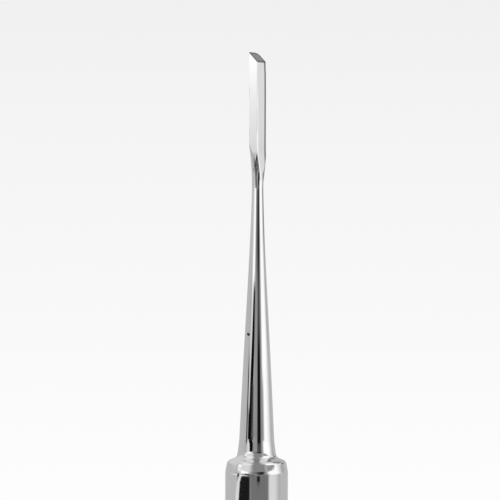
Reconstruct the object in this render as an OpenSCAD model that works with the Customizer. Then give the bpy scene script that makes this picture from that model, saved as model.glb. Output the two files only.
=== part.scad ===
/* [Handle] */
// Length of the whole chisel, from the butt to the cutting edge
overall_l = 160; // [140:1:180]
// Diameter of the round handle
handle_d = 6; // [5.4:0.1:8]
// Radius of the rounded edge round the flat butt
butt_round = 0.5; // [0.3:0.1:1.2]

/* [Shoulder] */
// Distance from the cutting edge back to the foot of the shank
reach_l = 38.65; // [34:0.05:46]
// Length along the axis of the sloping face in front of the handle
shoulder_rise = 0.25; // [0.1:0.05:0.8]
// Length along the axis of the round that ends the handle
shoulder_round_l = 1.4; // [0.6:0.1:2.5]
// How far that round takes the handle in, on the radius
shoulder_round_depth = 0.38; // [0.2:0.02:0.6]

/* [Shank] */
// Diameter of the waist, the thinnest place behind the blade
waist_d = 1.1; // [0.95:0.05:1.3]
// Distance from the cutting edge back to the waist
waist_reach = 13; // [12.4:0.1:15]
// Diameter of the shank where its foot starts to flare
root_d = 3.32; // [2.8:0.02:3.6]
// How much the taper is hollowed behind the waist, 0 being a straight cone
taper_hollow = 0.65; // [0:0.05:0.9]
// Length of the flare at the foot of the shank
flare_l = 1.85; // [1:0.05:3]
// Diameter of the foot of the shank, where it meets the sloping face
flare_d = 4.1; // [3.9:0.02:4.4]
// Radius of the fillet between the foot and the sloping face
foot_fillet = 0.18; // [0.05:0.01:0.3]

/* [Blade] */
// Distance from the axis to the blade's left side at the cutting edge
tip_left = 0.815; // [0.65:0.005:0.85]
// Distance from the axis to the blade's left side at the heel
heel_left = 0.735; // [0.65:0.005:0.85]
// Distance from the axis to the blade's right side, behind its cutting corner
side_right = 0.75; // [0.6:0.005:0.8]
// Thickness of the blade at its cutting edge
tip_t = 0.91; // [0.7:0.01:0.95]
// Thickness of the blade at its heel
heel_t = 0.97; // [0.8:0.01:1.05]
// Distance from the cutting edge back to the heel, where the ground faces start to run out
heel_reach = 9.8; // [8:0.1:11]
// Distance from the cutting edge back to where the broad faces have run out into the neck
runout_reach = 12.1; // [11.5:0.1:12.3]
// Thickness across the broad faces where they have run out
runout_t = 1.21; // [1.1:0.01:1.3]
// Angle between the bevel and the back of the blade
bevel_angle = 45; // [30:1:60]
// Turn of the bevelled face about the axis, away from the front
blade_turn = 55; // [0:1:90]
// Radius of the swelling from the waist out to the blade
swell_radius = 17; // [12:0.5:24]
// How far the swelling leans to one side, in degrees
swell_lean = 2.5; // [0:0.1:3]

/* [Edges of the blade] */
// Depth of the break along the long edges
edge_break = 0.045; // [0.02:0.005:0.08]
// Width of the narrow facet along the right edge of the bevelled face
facet_w = 0.32; // [0.1:0.01:0.5]
// Depth of that facet at the edge
facet_depth = 0.05; // [0.02:0.005:0.1]
// Length over which the right side leans in to the cutting corner
corner_l = 2.2; // [1:0.1:5]
// How far that side has come in at the cutting edge
corner_depth = 0.13; // [0.05:0.01:0.3]
// Radius of the worn cutting corner
corner_radius = 0.35; // [0.1:0.01:0.4]

/* [Nick in the shank] */
// Distance from the cutting edge back to the nick
nick_reach = 26.9; // [16:0.1:34]
// Turn of the nick about the axis, to the left of the front
nick_turn = 47; // [0:1:90]
// Slope of the nick across the shank
nick_slope = 20; // [0:1:60]
// Radius of the hollow of the nick
nick_radius = 0.1; // [0.06:0.01:0.2]
// Depth of the nick
nick_depth = 0.06; // [0.02:0.01:0.1]
// Length of the tool path that left the nick
nick_l = 1; // [0.8:0.1:1.5]

/* [Hidden] */
$fn = 180;

handle_r = handle_d / 2;
waist_r = waist_d / 2;
root_r = root_d / 2;
root_reach = reach_l - flare_l;
shoulder_r = handle_r - shoulder_round_depth;
shoulder_reach = reach_l + shoulder_rise;

// Steps along each curve of the outline
taper_steps = 16;
flare_steps = 6;
fillet_steps = 6;
round_steps = 12;

// The shank and the swelling pass into each other at the waist, each narrowing inside the other
joint_l = 0.6;
joint_share = 0.8;

// The blade is cut from a swelling no wider than the handle
stock_d = handle_d;
overrun = 1;
corner_steps = 6;
face_slope = (heel_t - tip_t) / 2 / heel_reach;
bevel_l = tip_t / (tan(bevel_angle) - face_slope);

// Radius of the shank at a distance back from the cutting edge
function shank_radius(reach) =
    let (share = (reach - waist_reach) / (root_reach - waist_reach))
    waist_r + (root_r - waist_r) * (share - taper_hollow * share * pow(1 - share, 3));

// Slope of the shank's side where the flare takes over
root_slope = (root_r - waist_r) / (root_reach - waist_reach);

// Radius of the flare at a share of its length
function flare_radius(share) =
    root_r + root_slope * flare_l * share + (flare_d / 2 - root_r - root_slope * flare_l) * share * share;

function unit(v) = v / norm(v);

// An arc of this radius in the corner at p, tangent to the lines towards a and b
function rounded(a, p, b, radius, steps) =
    let (
        to_a = unit(a - p),
        to_b = unit(b - p),
        half = acos(to_a * to_b) / 2,
        centre = p + unit(to_a + to_b) * radius / sin(half),
        first = p + to_a * radius / tan(half) - centre,
        last = p + to_b * radius / tan(half) - centre,
        sweep = 180 - 2 * half
    )
    [for (i = [0:steps])
        centre + (first * sin(sweep * (1 - i / steps)) + last * sin(sweep * i / steps)) / sin(sweep)];

// Outline of the shank, shoulder and handle, as radius and height, with the cutting edge at height 0
foot = [flare_d / 2, -reach_l];
shoulder = [shoulder_r, -shoulder_reach];
shank_outline = [for (i = [0:taper_steps])
    let (reach = waist_reach + (root_reach - waist_reach) * i / taper_steps)
    [shank_radius(reach), -reach]];
flare_outline = [for (i = [1:flare_steps - 1])
    [flare_radius(i / flare_steps), -(root_reach + flare_l * i / flare_steps)]];
foot_outline = rounded(flare_outline[flare_steps - 2], foot, shoulder, foot_fillet, fillet_steps);
shoulder_outline = [for (i = [0:round_steps])
    let (angle = 90 * i / round_steps)
    [shoulder_r + shoulder_round_depth * sin(angle),
     -(shoulder_reach + shoulder_round_l * (1 - cos(angle)))]];
butt_outline = rounded([handle_r, -shoulder_reach], [handle_r, -overall_l], [0, -overall_l],
    butt_round, fillet_steps);

// Shank, shoulder and handle, turned as one
module turned_body() {
    rotate_extrude()
        polygon(concat(
            [[0, -waist_reach + joint_l], [waist_r * joint_share, -waist_reach + joint_l]],
            shank_outline, flare_outline, foot_outline, shoulder_outline, butt_outline,
            [[0, -overall_l]]));
}

// Round swelling that the blade is ground from, leaning a little about the waist
module swelling() {
    translate([0, 0, -waist_reach])
        rotate([0, swell_lean, 0])
            rotate_extrude() {
                difference() {
                    square([stock_d / 2, waist_reach + overrun]);
                    translate([waist_r + swell_radius, 0])
                        circle(r = swell_radius);
                }
                polygon([[0, 0], [waist_r, 0], [waist_r * joint_share, -joint_l], [0, -joint_l]]);
            }
}

// The blade seen from its narrow side: bevel, broad faces and their run-out
module thickness_form() {
    below = waist_reach + 2 * joint_l;
    rotate([90, 0, 90])
        linear_extrude(stock_d, center = true)
            polygon([
                [tip_t / 2, 0],
                [-tip_t / 2 - face_slope * bevel_l, -bevel_l],
                [-heel_t / 2, -heel_reach],
                [-runout_t / 2, -runout_reach],
                [-stock_d / 2, -runout_reach],
                [-stock_d / 2, -below],
                [stock_d / 2, -below],
                [stock_d / 2, -runout_reach],
                [runout_t / 2, -runout_reach],
                [heel_t / 2, -heel_reach]]);
}

// The blade seen from its broad side, with the right side leaning in to the rounded cutting corner
module width_form() {
    below = waist_reach + 2 * joint_l;
    corner = [side_right - corner_depth, 0];
    rotate([90, 0, 0])
        linear_extrude(stock_d, center = true)
            polygon(concat(
                [[-tip_left, 0],
                 [-heel_left, -heel_reach],
                 [-heel_left, -below],
                 [side_right, -below],
                 [side_right, -corner_l]],
                rounded([side_right, -corner_l], corner, [-tip_left, 0], corner_radius, corner_steps)));
}

// Square bar, set cornerwise, that breaks the four long edges
module edge_form() {
    across = (tip_left + side_right + tip_t) / sqrt(2) - 2 * edge_break;
    below = waist_reach + 2 * joint_l;
    translate([(side_right - tip_left) / 2, 0, 0])
        rotate([0, 0, 45])
            translate([-across / 2, -across / 2, -below])
                cube([across, across, below + overrun]);
}

// What the narrow facet takes off the bevelled face along its right edge
module facet_cut() {
    turn = atan(facet_depth / facet_w);
    lean = atan(face_slope);
    translate([side_right - facet_w, -tip_t / 2, 0])
        rotate([-lean, 0, turn])
            translate([-overrun, -stock_d, -waist_reach])
                cube([stock_d, stock_d, waist_reach + overrun]);
}

module blade() {
    intersection() {
        swelling();
        rotate([0, 0, blade_turn])
            difference() {
                intersection() {
                    thickness_form();
                    width_form();
                    edge_form();
                }
                facet_cut();
            }
    }
}

// Short hollow that something hard has left in the side of the shank
module nick() {
    rotate([0, 0, -nick_turn])
        translate([0, -(shank_radius(nick_reach) + nick_radius - nick_depth), -nick_reach])
            rotate([0, 90 + nick_slope, 0])
                cylinder(h = nick_l, r = nick_radius, center = true, $fn = 48);
}

// One solid bar: handle, shoulder, shank and blade. It stands on its flat butt, with the cutting edge at the top.
module chisel() {
    color("gainsboro")
        translate([0, 0, overall_l])
            difference() {
                union() {
                    turned_body();
                    blade();
                }
                nick();
            }
}

chisel();
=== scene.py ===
from math import atan, cos, pi, radians, sin, sqrt, tan

import bmesh
import bpy
from mathutils import Matrix, Vector

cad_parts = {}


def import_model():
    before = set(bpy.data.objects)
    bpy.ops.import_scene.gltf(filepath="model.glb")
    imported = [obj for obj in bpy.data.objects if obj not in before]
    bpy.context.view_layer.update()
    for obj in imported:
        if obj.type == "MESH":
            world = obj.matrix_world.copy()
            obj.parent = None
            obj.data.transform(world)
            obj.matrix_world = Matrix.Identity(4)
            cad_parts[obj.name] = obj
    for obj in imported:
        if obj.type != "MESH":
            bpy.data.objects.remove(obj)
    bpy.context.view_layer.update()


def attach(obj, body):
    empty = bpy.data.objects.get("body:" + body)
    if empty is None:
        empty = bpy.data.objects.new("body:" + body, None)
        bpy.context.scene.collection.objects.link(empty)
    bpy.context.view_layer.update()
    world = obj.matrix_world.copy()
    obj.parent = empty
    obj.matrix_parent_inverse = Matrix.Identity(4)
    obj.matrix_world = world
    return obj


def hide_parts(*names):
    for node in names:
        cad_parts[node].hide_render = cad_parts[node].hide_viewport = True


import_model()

MM = 0.001

# Handle, in millimetres, as in the part's source
OVERALL_L = 160.0
HANDLE_R = 3.0
BUTT_ROUND = 0.5

# Shank
WAIST_R = 0.55
WAIST_REACH = 13.0
ROOT_R = 1.66
TAPER_HOLLOW = 0.65
ROOT_REACH = 36.8

# Outline of the flare and shoulder: radius, and distance from the cutting edge
SHOULDER = [
    (1.66, 36.8), (1.681, 37.05), (1.708, 37.3), (1.75, 37.65), (1.796, 38.0), (1.835, 38.22), (1.875, 38.4),
    (1.94, 38.54), (2.05, 38.65), (2.2, 38.73), (2.4, 38.81), (2.57, 38.88), (2.70, 38.96), (2.79, 39.08),
    (2.84, 39.25), (2.895, 39.5), (2.94, 39.72), (2.976, 39.92), (2.989, 40.03), (2.995, 40.25), (3.0, 40.7),
]

# Blade, with its sides measured from the axis. EASE_L is the length over which the swelling takes up its lean.
TIP_LEFT, HEEL_LEFT = 0.815, 0.735
SIDE_RIGHT = 0.75
TIP_HALF_T, HEEL_HALF_T = 0.455, 0.485
HEEL_REACH = 9.8
RUNOUT_REACH = 12.1
RUNOUT_HALF_T = 0.605
BEVEL_ANGLE = radians(45)
BEVEL_L = 0.92
BLADE_TURN = radians(55)
SWELL_RADIUS = 17.0
SWELL_LEAN = radians(2.5)
EASE_L = 1.0

# Edges of the blade: how soft two flats meet, and how soft the narrow sides and the broad faces run out
EDGE_SOFT = 0.015
SIDE_RIM, FACE_RIM = 0.09, 0.12
RIM_EASE_L = 1.2
HEEL_SOFT = 0.03
# Width of a painted shade: a dark band along the bevel's edge on the polished steel
PAINTED_EDGE_SHADE_W = 0.09
FACET_W = 0.32
FACET_DEPTH = 0.05
RIDGE_TURN = radians(14)
RIDGE_DEPTH = 0.04
RIDGE_START, RIDGE_FULL = 0.5, 5.0
CORNER_L = 2.2
CORNER_DEPTH = 0.13
CORNER_RADIUS = 0.35

# Nick in the shank
NICK_REACH = 26.8
NICK_TURN = radians(50)
NICK_SLOPE = radians(20)
NICK_RADIUS = 0.1
NICK_DEPTH = 0.06
NICK_L = 1.0

# Painted shade in the nick and a painted dark reflection at the neck: degrees to the right of the front,
# radius, distance from the cutting edge, size and strength
PAINTED_SHADE_SPOTS = [
    (-47, 1.14, 26.87, 0.2, 1.0),
    (-41, 1.14, 26.93, 0.15, 1.0),
    (-54, 1.14, 26.8, 0.15, 0.8),
    (-40, 0.65, 11.2, 0.16, 0.4),
]

# Fineness of the mesh
AROUND = 210
BLADE_RINGS = 262
OVERRUN = 0.1
CREASE = radians(28)
WELD, RIM_WELD, CUT_WELD = 1e-5, 1e-4, 1e-7
FAR, GRAZING, LEAST_SOFT = 99.0, 0.05, 1e-6

# Material slot of the bevel, after the polished steel
BEVEL = 1

# Light tent
TENT_R = 150.0
TENT_H = 330.0
TENT_SHEET = 0.1

# Camera and overhead lamp, in metres
CAMERA_AT = (-0.000704, -0.236, 0.141145)
LENS = 178.1
ROLL = radians(-0.2)
LAMP_AT, LAMP_AIM = (0, -0.2, 1.4), (0, 0, 0.05)
LAMP_SIZE = (1.6, 1.2)
LAMP_POWER = 11


def height(reach):
    """Height above the butt of a place this far from the cutting edge."""
    return OVERALL_L - reach


# ---------------------------------------------------------------- outline


def shank_radius(reach):
    share = (reach - WAIST_REACH) / (ROOT_REACH - WAIST_REACH)
    return WAIST_R + (ROOT_R - WAIST_R) * (share - TAPER_HOLLOW * share * (1 - share)**3)


def swell_radius(reach):
    rise = WAIST_REACH - reach
    return WAIST_R + SWELL_RADIUS - sqrt(SWELL_RADIUS**2 - rise * rise)


def rounded(a, p, b, radius, steps):
    """Points of an arc of this radius in the corner at p, tangent to the lines towards a and b."""
    a, p, b = Vector(a), Vector(p), Vector(b)
    to_a, to_b = (a - p).normalized(), (b - p).normalized()
    half = to_a.angle(to_b) / 2
    centre = p + (to_a + to_b).normalized() * (radius / sin(half))
    first = p + to_a * (radius / tan(half)) - centre
    last = p + to_b * (radius / tan(half)) - centre
    sweep = pi - 2 * half
    for i in range(steps + 1):
        t = i / steps
        spoke = (first * sin(sweep * (1 - t)) + last * sin(sweep * t)) / sin(sweep)
        yield tuple(centre + spoke)


def smooth(points, steps):
    """A smooth curve through these points, with this many steps between each two."""
    points = [Vector(point) for point in points]
    ends = [2 * points[0] - points[1]] + points + [2 * points[-1] - points[-2]]
    for before, a, b, after in zip(ends, ends[1:], ends[2:], ends[3:]):
        for i in range(steps):
            t = i / steps
            yield tuple(a + (b - before) * (t / 2) + (before * 2 - a * 5 + b * 4 - after) * (t * t / 2)
                        + (a * 3 - before - b * 3 + after) * (t * t * t / 2))


def body_outline():
    """Radius and distance from the cutting edge, from the waist down to the middle of the butt."""
    taper_steps, nick_steps, grip_steps = 60, 24, 12
    reaches = [WAIST_REACH + (ROOT_REACH - WAIST_REACH) * i / taper_steps for i in range(taper_steps)]
    reaches += [NICK_REACH + NICK_L * (i / nick_steps - 0.5) * 0.8 for i in range(nick_steps + 1)]
    points = [(shank_radius(reach), reach) for reach in sorted(set(reaches))]
    points += smooth(SHOULDER, 5)
    top = SHOULDER[-1][1]
    for i in range(grip_steps):
        points.append((HANDLE_R, top + (OVERALL_L - BUTT_ROUND - top) * i / grip_steps))
    points += rounded((HANDLE_R, top), (HANDLE_R, OVERALL_L), (0, OVERALL_L), BUTT_ROUND, 8)
    points.append((0.0, OVERALL_L))
    return points


def blended(a, b, soft):
    """The lower of two values, rounded off where they come within soft of each other."""
    near = max(soft - abs(a - b), 0) / soft
    return min(a, b) - near * near * soft / 4


def along(tip, heel, reach):
    """A measure that passes evenly from its value at the cutting edge to the one at the heel."""
    return tip + (heel - tip) * reach / HEEL_REACH


def half_thickness(reach):
    blade = along(TIP_HALF_T, HEEL_HALF_T, reach)
    share = (reach - HEEL_REACH) / (RUNOUT_REACH - HEEL_REACH)
    runout = HEEL_HALF_T + (RUNOUT_HALF_T - HEEL_HALF_T) * share
    return -blended(-blade, -runout, HEEL_SOFT)


def right_side(reach):
    """Distance from the axis to the right side, which comes in to the worn cutting corner."""
    reach = max(reach, 0)
    side = SIDE_RIGHT - CORNER_DEPTH * max(1 - reach / CORNER_L, 0)
    worn = max(CORNER_RADIUS - reach, 0)
    return side - CORNER_RADIUS + sqrt(CORNER_RADIUS**2 - worn**2)


def blade_flats(reach):
    """Direction in the blade's own frame, distance from the axis and softness of rim of each flat."""
    half = half_thickness(reach)
    left = along(TIP_LEFT, HEEL_LEFT, reach)
    right = right_side(reach)
    turn = atan(FACET_DEPTH / FACET_W)
    facet = Vector((sin(turn), -cos(turn)))
    ridge = Vector((-sin(RIDGE_TURN), -cos(RIDGE_TURN)))
    grown = min(max((reach - RIDGE_START) / (RIDGE_FULL - RIDGE_START), 0), 1)
    return [
        (Vector((-1, 0)), left, SIDE_RIM),
        (Vector((1, 0)), right, SIDE_RIM),
        (Vector((0, -1)), half, FACE_RIM),
        (Vector((0, 1)), half, FACE_RIM),
        (facet, facet.dot((right - FACET_W, -half)), FACE_RIM),
        (ridge, ridge.dot((-left, -half)) - RIDGE_DEPTH * grown, SIDE_RIM),
    ]


# ---------------------------------------------------------------- mesh work


def turned(points):
    """A shell turned from points of radius and distance from the cutting edge."""
    bm = bmesh.new()
    verts = [bm.verts.new((r, 0, height(reach))) for r, reach in points]
    edges = [bm.edges.new(pair) for pair in zip(verts, verts[1:])]
    bmesh.ops.spin(bm, geom=verts + edges, cent=(0, 0, 0), axis=(0, 0, 1), angle=2 * pi,
                   steps=AROUND, use_merge=True, use_duplicate=False)
    bmesh.ops.remove_doubles(bm, verts=bm.verts[:], dist=WELD)
    return bm


def lean_at(reach):
    """How far the swelling's middle lies to the right of the axis."""
    rise = WAIST_REACH - reach
    eased = rise * rise / (2 * EASE_L) if rise < EASE_L else rise - EASE_L / 2
    return eased * tan(SWELL_LEAN)


def grind(bm, ground):
    """Draws a turned shell in to the leaning swelling and the flats ground on it."""
    turn = Matrix.Rotation(-BLADE_TURN, 2)
    flats = {}
    for v in bm.verts:
        level = round(v.co.z, 4)
        reach = OVERALL_L - v.co.z
        if level not in flats:
            flats[level] = blade_flats(reach), swell_radius(reach), lean_at(reach)
        faces, swell, shift = flats[level]
        out = v.co.xy.normalized()
        side = turn @ out
        flat = nearest = FAR
        for direction, distance, rim in faces:
            towards = direction.dot(side)
            if towards > GRAZING:
                reached = distance / towards
                if reached < nearest:
                    nearest, soft = reached, rim
                flat = blended(flat, reached, EDGE_SOFT)
        soft = max(soft * min((WAIST_REACH - reach) / RIM_EASE_L, 1), LEAST_SOFT)
        round_part = shift * out.x + sqrt(swell * swell - (shift * out.y) ** 2)
        v.co.xy = out * blended(flat, round_part, soft)
        v[ground] = min(max((round_part - flat) / soft + 0.5, 0), 1)


def blade():
    """The swelling from the waist up, with its flats, cut off by the bevel."""
    reaches = [WAIST_REACH - (WAIST_REACH + OVERRUN) * i / BLADE_RINGS for i in range(BLADE_RINGS + 1)]
    bm = turned([(WAIST_R, reach) for reach in reaches])
    ground = bm.verts.layers.float.new("ground")
    grind(bm, ground)
    turn = Matrix.Rotation(BLADE_TURN, 3, "Z")
    for place, out in (
        ((0, TIP_HALF_T, height(0)), (0, -cos(BEVEL_ANGLE), sin(BEVEL_ANGLE))),
        ((0, 0, height(0)), (0, 0, 1)),
    ):
        bmesh.ops.bisect_plane(
            bm, geom=bm.verts[:] + bm.edges[:] + bm.faces[:], dist=CUT_WELD,
            plane_co=turn @ Vector(place), plane_no=turn @ Vector(out), clear_outer=True)
    rim = [e for e in bm.edges if e.is_boundary and any(v.co.z > height(HEEL_REACH) for v in e.verts)]
    for f in bmesh.ops.edgeloop_fill(bm, edges=rim)["faces"]:
        f.material_index = BEVEL
    return bm


def body():
    """Shank, shoulder and handle, turned as one and nowhere ground."""
    bm = turned(body_outline())
    bm.verts.layers.float.new("ground")
    return bm


def strike_nick(bm):
    """Presses the nick's hollow into the left of the shank."""
    out = Vector((-sin(NICK_TURN), -cos(NICK_TURN), 0))
    around = Vector((cos(NICK_TURN), -sin(NICK_TURN), 0))
    run = around * cos(NICK_SLOPE) - Vector((0, 0, sin(NICK_SLOPE)))
    across = out.cross(run)
    centre = out * (shank_radius(NICK_REACH) + NICK_RADIUS - NICK_DEPTH) + Vector((0, 0, height(NICK_REACH)))
    for v in bm.verts:
        offset = v.co - centre
        side = offset.dot(across)
        if abs(side) < NICK_RADIUS and abs(offset.dot(run)) < NICK_L / 2 and offset.dot(out) > -NICK_L:
            deep = -sqrt(NICK_RADIUS**2 - side * side)
            if offset.dot(out) > deep:
                v.co += out * (deep - offset.dot(out))


def joined(parts):
    """One bmesh from several, welded where their rims meet."""
    whole = bmesh.new()
    for bm in parts:
        mesh = bpy.data.meshes.new("part")
        bm.to_mesh(mesh)
        whole.from_mesh(mesh)
        bpy.data.meshes.remove(mesh)
        bm.free()
    bmesh.ops.remove_doubles(whole, verts=whole.verts[:], dist=RIM_WELD)
    bmesh.ops.recalc_face_normals(whole, faces=whole.faces[:])
    return whole


def chisel_piece():
    """The whole chisel as one closed mesh, shaded smooth except at its creases."""
    bm = joined([blade(), body()])
    strike_nick(bm)
    for f in bm.faces:
        f.smooth = True
    for e in bm.edges:
        if len(e.link_faces) == 2 and e.calc_face_angle() > CREASE:
            e.smooth = False
    bmesh.ops.scale(bm, vec=(MM, MM, MM), verts=bm.verts[:])
    mesh = bpy.data.meshes.new("steel_chisel")
    bm.to_mesh(mesh)
    bm.free()
    obj = bpy.data.objects.new("steel_chisel", mesh)
    bpy.context.scene.collection.objects.link(obj)
    return obj


# ---------------------------------------------------------------- shader maths


class Wire:
    """A socket that can be used in Python sums."""

    def __init__(self, finish, socket):
        self.finish, self.socket = finish, socket

    def _maths(self, operation, a, b=None):
        values = {0: a} if b is None else {0: a, 1: b}
        return self.finish.node("ShaderNodeMath", {"operation": operation}, values)

    def __add__(self, other):
        return self._maths("ADD", self, other)

    def __radd__(self, other):
        return self._maths("ADD", other, self)

    def __sub__(self, other):
        return self._maths("SUBTRACT", self, other)

    def __rsub__(self, other):
        return self._maths("SUBTRACT", other, self)

    def __mul__(self, other):
        return self._maths("MULTIPLY", self, other)

    def __rmul__(self, other):
        return self._maths("MULTIPLY", other, self)

    def __truediv__(self, other):
        return self._maths("DIVIDE", self, other)


class Finish:
    """A material's or world's nodes. One method, node, adds any of them."""

    def __init__(self, tree):
        self.tree = tree
        tree.nodes.clear()

    def node(self, kind, settings=None, values=None, out=0):
        """Adds a node with these settings and socket values, and gives the output named by out, or the node."""
        made = self.tree.nodes.new(kind)
        for name, value in (settings or {}).items():
            if name == "stops":
                ramp = made.color_ramp
                while len(ramp.elements) < len(value):
                    ramp.elements.new(1.0)
                for element, (at, shade) in zip(ramp.elements, value):
                    element.position = at
                    element.color = (shade, shade, shade, 1)
            else:
                setattr(made, name, value)
        for name, value in (values or {}).items():
            if isinstance(value, Wire):
                self.tree.links.new(value.socket, made.inputs[name])
            else:
                made.inputs[name].default_value = value
        return made if out is None or not made.outputs else Wire(self, made.outputs[out])

    def place(self):
        """The place on the piece, in metres."""
        return self.node("ShaderNodeTexCoord", out="Object")

    def axes(self):
        """The three coordinates of the place on the piece, in metres."""
        apart = self.node("ShaderNodeSeparateXYZ", values={0: self.place()}, out=None)
        return [Wire(self, socket) for socket in apart.outputs]

    def fade(self, value, start, end, low=0.0, high=1.0):
        """Passes smoothly from low to high as the value goes from start to end."""
        return self.node("ShaderNodeMapRange", {"interpolation_type": "SMOOTHSTEP"},
                         {0: value, 1: start, 2: end, 3: low, 4: high})

    def noise(self, scale, detail, stretch):
        """Grain of this many waves to the metre, drawn out where an axis of stretch is under one."""
        where = self.node("ShaderNodeMapping", values={"Vector": self.place(), "Scale": stretch})
        return self.node("ShaderNodeTexNoise", values={"Vector": where, "Scale": scale, "Detail": detail})


def grey(value):
    """A steel grey, a trace bluer than neutral."""
    return value, value, value + 0.005, 1


def material(name):
    """A new material, and the Finish that fills it."""
    made = bpy.data.materials.new(name)
    made.use_nodes = True
    return made, Finish(made.node_tree)


def spot(f, turn, radius, reach, size):
    """One over a small round mark on the surface, and nought away from it. turn is in degrees, to the right."""
    where = Vector((sin(radians(turn)) * radius, -cos(radians(turn)) * radius, height(reach))) * MM
    away = f.node("ShaderNodeVectorMath", {"operation": "DISTANCE"}, {0: f.place(), 1: where}, out=1)
    return f.fade(away, size * MM, size * MM / 3)


def polished_steel():
    """Mirror polish, dulled a little where the blade's flats were ground, with the streaks of the wheel.
    Painted shade darkens the nick and a band along the bevel's edge, and a painted dark reflection lies at the
    neck.

    The attribute ground is one on the flats and nought on the turned steel.
    """
    made, f = material("polished_steel")
    ground = f.node("ShaderNodeAttribute", {"attribute_name": "ground"}, out="Fac")
    cloud = f.noise(700, 3, (1, 1, 0.35))
    swirl = f.noise(1500, 2, (1, 1, 0.12))
    streak = f.noise(9000, 2, (1, 1, 0.03))
    shade = f.node("ShaderNodeMix", {"data_type": "RGBA"}, {
        0: cloud * (1 - ground) + streak * ground, 6: grey(0.79), 7: grey(0.87)}, out=2)
    # distance below the plane of the bevel
    x, y, z = f.axes()
    across = (y * cos(BLADE_TURN) - x * sin(BLADE_TURN)) / MM
    under_bevel = (across - TIP_HALF_T + OVERALL_L - z / MM) * sin(BEVEL_ANGLE)
    # painted shade: a dark band along the bevel's edge, and dark spots for the shade in the nick and the dark
    # reflection at the neck
    painted_shade = f.fade(under_bevel, PAINTED_EDGE_SHADE_W, PAINTED_EDGE_SHADE_W / 3) * 0.8
    for turn, radius, reach, size, strength in PAINTED_SHADE_SPOTS:
        painted_shade = painted_shade + spot(f, turn, radius, reach, size) * strength
    painted_shade = f.node("ShaderNodeMath", {"operation": "MINIMUM"}, {0: painted_shade, 1: 1.0})
    shade = f.node("ShaderNodeMix", {"data_type": "RGBA"}, {
        0: painted_shade, 6: shade, 7: (0.03, 0.03, 0.03, 1)}, out=2)
    bump = f.node("ShaderNodeBump", values={
        "Strength": 1.0, "Distance": 4e-6, "Height": swirl * (1 - ground) * 0.5 + streak * ground * 0.06})
    rough = cloud * 0.03 + 0.025 + ground * 0.1
    shader = f.node("ShaderNodeBsdfPrincipled", values={
        "Base Color": shade, "Metallic": 1.0, "Roughness": rough, "Normal": bump})
    f.node("ShaderNodeOutputMaterial", values={"Surface": shader})
    return made


def bevel_steel():
    """The finer matt grind of the bevel, with painted shade along its honed-over rim."""
    made, f = material("bevel_steel")
    x, y, z = f.axes()
    along_edge = (x * cos(BLADE_TURN) + y * sin(BLADE_TURN)) / MM
    reach = OVERALL_L - z / MM
    # painted shade: the bevel's colour darkens towards each of its edges
    rim = f.fade(along_edge + TIP_LEFT, 0.3, 0.1)
    for near in (
        f.fade(SIDE_RIGHT - CORNER_DEPTH * f.fade(reach, CORNER_L, 0) - along_edge, 0.3, 0.1),
        f.fade(reach, 0.22, 0.07),
        f.fade(reach, BEVEL_L - 0.17, BEVEL_L - 0.05),
    ):
        rim = f.node("ShaderNodeMath", {"operation": "MAXIMUM"}, {0: rim, 1: near})
    grain = f.noise(9000, 3, (1, 1, 1))
    shade = f.node("ShaderNodeMix", {"data_type": "RGBA"}, {
        0: rim * 0.75 + f.fade(grain, 0.4, 0.65) * 0.2, 6: grey(0.88), 7: grey(0.34)}, out=2)
    bump = f.node("ShaderNodeBump", values={"Strength": 0.5, "Distance": 1e-6, "Height": grain})
    shader = f.node("ShaderNodeBsdfPrincipled", values={
        "Base Color": shade, "Metallic": 1.0, "Roughness": grain * 0.06 + 0.22, "Normal": bump})
    f.node("ShaderNodeOutputMaterial", values={"Surface": shader})
    return made


# ---------------------------------------------------------------- studio


def patch(f, under, place, across, up, soft, shade):
    """Lays a patch of this brightness over what is under it on the tent's wall.

    across is from and to in degrees, up is from and to in millimetres, and soft is how far its edges fade
    either way, in degrees and in millimetres.
    """
    around, level = place
    turn_soft, level_soft = soft
    mask = (f.fade(around, across[0] - turn_soft, across[0] + turn_soft)
            * f.fade(around, across[1] + turn_soft, across[1] - turn_soft)
            * f.fade(level, up[0] - level_soft, up[0] + level_soft)
            * f.fade(level, up[1] + level_soft, up[1] - level_soft))
    return under + (shade - under) * mask


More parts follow.
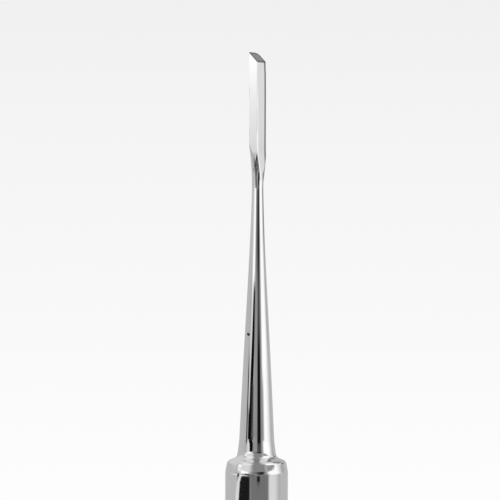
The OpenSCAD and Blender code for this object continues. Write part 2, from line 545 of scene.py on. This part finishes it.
def tent_wall(f):
    """Brightness of the tent's wall, by degrees round it from the front to the right, and by millimetres up.

    The bare wall is a pale studio. The patches on it are soft boxes, screens and dark openings.
    """
    x, y, z = f.axes()
    turn = f.node("ShaderNodeMath", {"operation": "ARCTAN2"}, {0: x, 1: y * -1}) * (180 / pi)
    back = f.node("ShaderNodeMath", {"operation": "ABSOLUTE"}, {0: turn})
    level = z / MM
    place = turn, level
    low, high = -50, TENT_H + 50
    behind = 190
    wall = f.fade(level, 140, 165, 0.55, f.fade(turn, -90, 100, 0.7, 0.5))
    # left side
    wall = patch(f, wall, place, (-86, -27), (113, high), (8, 3), f.fade(turn, -72, -55, 0.5, 0.8))
    wall = patch(f, wall, place, (-108, -58), (113, 119.5), (5, 1.5), f.fade(turn, -108, -70, 0.75, 1.1))
    bright = f.fade(level, 151, 159, 0.84, 0.95) + f.fade(level, 163, 169, 0, 0.45)
    wall = patch(f, wall, place, (-78, -62), (151, 182), (4, 5), bright)
    wall = patch(f, wall, place, (-72, -27), (195, high), (9, 12), 0.95)
    wall = patch(f, wall, place, (-60, -33), (149, 160), (4, 2), 1.2)
    slanted = turn + f.fade(level, 130, 150, 11, 0), level
    wall = patch(f, wall, slanted, (-44, -19), (124.5, 151), (2.5, 1), 0.003)
    wall = patch(f, wall, place, (-48, -24), (124.5, 135), (3, 1), f.fade(turn, -44, -33, 0.008, 0.055))
    wall = patch(f, wall, place, (-75, -66), (108, 137), (2.5, 3), 0.02)
    arched = turn, level + f.fade(turn, -82, -50, 13, 0)
    wall = patch(f, wall, arched, (-83, -26), (low, 118), (2, 2), 0.85)
    wall = patch(f, wall, arched, (-77, -23.5), (low, 112), (3, 1.5), 0.012)
    wall = patch(f, wall, place, (-62, -41), (121, 129), (3, 1), 0.003)
    wall = patch(f, wall, place, (-43, -33), (115, 123), (2, 1), 0.01)
    # front
    wall = patch(f, wall, place, (-24, 44), (low, 160), (6, 6), f.fade(level, 112, 132, 0.19, 0.33))
    wall = patch(f, wall, place, (-19, 34), (154, high), (9, 4), f.fade(level, 156, 164, 0.16, 0.27))
    dark = f.fade(level, 139, 149, 0.006, 0.085) - f.fade(level, 150, 156, 0, 0.075)
    wall = patch(f, wall, place, (3, 27), (124.5, 162), (5, 1), dark)
    wall = patch(f, wall, place, (-34, -21), (111, 127), (2, 1.5), 0.15)
    wall = patch(f, wall, place, (-20, -8), (115, 125), (3, 2), 0.11)
    wall = patch(f, wall, place, (1, 12), (107, 112.5), (3, 1), 0.01)
    wall = patch(f, wall, place, (-4, 8), (154, 161), (7, 3), 0.08)
    # right side
    wall = patch(f, wall, place, (46, 98), (low, 122), (4, 5), f.fade(turn, 66, 94, 0.8, 0.5))
    wall = patch(f, wall, place, (51, 122), (119, 140), (4, 4), f.fade(turn, 66, 122, 1.16, 0.47))
    wall = patch(f, wall, place, (42, 122), (135, high), (8, 3), f.fade(turn, 75, 117, 1.18, 0.42))
    wall = patch(f, wall, place, (38, 74), (159, 181), (6, 3), 0.34)
    wall = patch(f, wall, place, (92, 118), (154, 190), (6, 3), 0.86)
    wall = patch(f, wall, place, (114, 138), (149, 158), (3, 3), 0.15)
    wall = patch(f, wall, place, (119, 136), (155, 190), (3, 5), 0.2)
    # back
    wall = patch(f, wall, place, (118, 158), (215, high), (8, 10), 0.26)
    wall = patch(f, wall, (back, level), (170, behind), (285, high), (5, 12), 0.28)
    wall = patch(f, wall, (back, level), (159, behind), (low, 108), (5, 6), 0.75)
    wall = patch(f, wall, (back, level), (173, behind), (low, 108), (3, 6), 0.03)
    return wall


def tent_roof(f):
    """Grey down the middle of the roof and pale to its left and right."""
    across = f.node("ShaderNodeMath", {"operation": "ABSOLUTE"}, {0: f.axes()[0] / MM})
    return f.fade(across, 25, 75, 0.27, 0.9)


def tent():
    """A wall round the chisel, a roof over it and a sheet under it, which only the steel's polish shows.

    The wall's bands go on across the sheet, so they don't break off on the handle above the floor.
    """
    for name, profile, shade in (
        ("tent_wall", ((TENT_R, 0, 0), (TENT_R, 0, TENT_H)), tent_wall),
        ("tent_roof", ((0, 0, TENT_H), (TENT_R, 0, TENT_H)), tent_roof),
        ("tent_sheet", ((0, 0, TENT_SHEET), (TENT_R, 0, TENT_SHEET)), tent_wall),
    ):
        bm = bmesh.new()
        verts = [bm.verts.new(place) for place in profile]
        edge = bm.edges.new(verts)
        bmesh.ops.spin(bm, geom=verts + [edge], cent=(0, 0, 0), axis=(0, 0, 1), angle=2 * pi, steps=96,
                       use_merge=True, use_duplicate=False)
        bmesh.ops.remove_doubles(bm, verts=bm.verts[:], dist=WELD)
        bmesh.ops.scale(bm, vec=(MM, MM, MM), verts=bm.verts[:])
        mesh = bpy.data.meshes.new(name)
        bm.to_mesh(mesh)
        bm.free()
        obj = bpy.data.objects.new(name, mesh)
        bpy.context.scene.collection.objects.link(obj)
        made, f = material(name)
        light = f.node("ShaderNodeEmission", values={1: shade(f)})
        f.node("ShaderNodeOutputMaterial", values={"Surface": light})
        made.cycles.emission_sampling = "NONE"
        mesh.materials.append(made)
        obj.visible_camera = obj.visible_diffuse = obj.visible_shadow = False
        obj.visible_transmission = obj.visible_volume_scatter = False


def area_lamp(name, place, aim, size, power):
    """A soft lamp that lights without being mirrored in the steel."""
    data = bpy.data.lights.new(name, "AREA")
    data.shape = "RECTANGLE"
    data.size, data.size_y = size
    data.energy = power
    obj = bpy.data.objects.new(name, data)
    bpy.context.scene.collection.objects.link(obj)
    obj.location = place
    obj.rotation_euler = (Vector(aim) - Vector(place)).to_track_quat("-Z", "Y").to_euler()
    obj.visible_glossy = False


def world():
    """Soft light from all round, and a near white background where the camera or a reflection looks past."""
    made = bpy.data.worlds.new("studio")
    made.use_nodes = True
    f = Finish(made.node_tree)
    ray = f.node("ShaderNodeLightPath", out=None)
    kinds = [Wire(f, ray.outputs["Is %s Ray" % kind]) for kind in ("Camera", "Glossy", "Transmission")]
    seen = kinds[0] + kinds[1] + kinds[2]
    around = f.node("ShaderNodeBackground", values={"Color": (0.6, 0.6, 0.6, 1), "Strength": 1.0})
    behind = f.node("ShaderNodeBackground", values={"Color": (0.92, 0.92, 0.92, 1), "Strength": 1.0})
    both = f.node("ShaderNodeMixShader", values={0: seen, 1: around, 2: behind})
    f.node("ShaderNodeOutputWorld", values={"Surface": both})
    bpy.context.scene.world = made


def floor():
    """A round pale floor that takes the chisel's shadow."""
    bm = bmesh.new()
    bmesh.ops.create_circle(bm, cap_ends=True, radius=1.0, segments=96)
    mesh = bpy.data.meshes.new("floor")
    bm.to_mesh(mesh)
    bm.free()
    obj = bpy.data.objects.new("floor", mesh)
    bpy.context.scene.collection.objects.link(obj)
    made, f = material("pale_floor")
    shader = f.node("ShaderNodeBsdfPrincipled", values={
        "Base Color": (0.82, 0.82, 0.82, 1), "Roughness": 0.7, "Specular IOR Level": 0.0})
    f.node("ShaderNodeOutputMaterial", values={"Surface": shader})
    mesh.materials.append(made)


def backdrop():
    """A pale wall behind the chisel, a little greyer towards its top, which only the camera sees."""
    bm = bmesh.new()
    bmesh.ops.create_grid(bm, x_segments=1, y_segments=1, size=3.0,
                          matrix=Matrix.Translation((0, 1.0, 3.0)) @ Matrix.Rotation(pi / 2, 4, "X"))
    mesh = bpy.data.meshes.new("backdrop")
    bm.to_mesh(mesh)
    bm.free()
    obj = bpy.data.objects.new("backdrop", mesh)
    bpy.context.scene.collection.objects.link(obj)
    made, f = material("pale_backdrop")
    where = f.node("ShaderNodeSeparateXYZ", values={0: f.place()}, out=2)
    share = f.node("ShaderNodeMapRange", values={0: where, 1: 0.016, 2: 0.266})
    shade = f.node("ShaderNodeValToRGB", {"stops": [(0.0, 0.985), (0.35, 0.945), (0.7, 0.91), (1.0, 0.875)]},
                   {0: share})
    light = f.node("ShaderNodeEmission", values={0: shade, 1: 1.0})
    f.node("ShaderNodeOutputMaterial", values={"Surface": light})
    mesh.materials.append(made)
    obj.visible_diffuse = obj.visible_glossy = obj.visible_shadow = False


def camera():
    """A long lens level with the shank, rolled a trace."""
    data = bpy.data.cameras.new("camera")
    data.sensor_width = 36
    data.lens = LENS
    data.clip_start, data.clip_end = 0.01, 20
    obj = bpy.data.objects.new("camera", data)
    bpy.context.scene.collection.objects.link(obj)
    obj.location = CAMERA_AT
    obj.rotation_euler = (radians(90), ROLL, 0)
    bpy.context.scene.camera = obj


def studio():
    camera()
    world()
    floor()
    backdrop()
    tent()
    area_lamp("overhead_lamp", LAMP_AT, LAMP_AIM, LAMP_SIZE, LAMP_POWER)


studio()
chisel = chisel_piece()
chisel.data.materials.append(polished_steel())
chisel.data.materials.append(bevel_steel())
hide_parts("chisel")
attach(chisel, "root")

bpy.context.scene.view_settings.view_transform = "Standard"
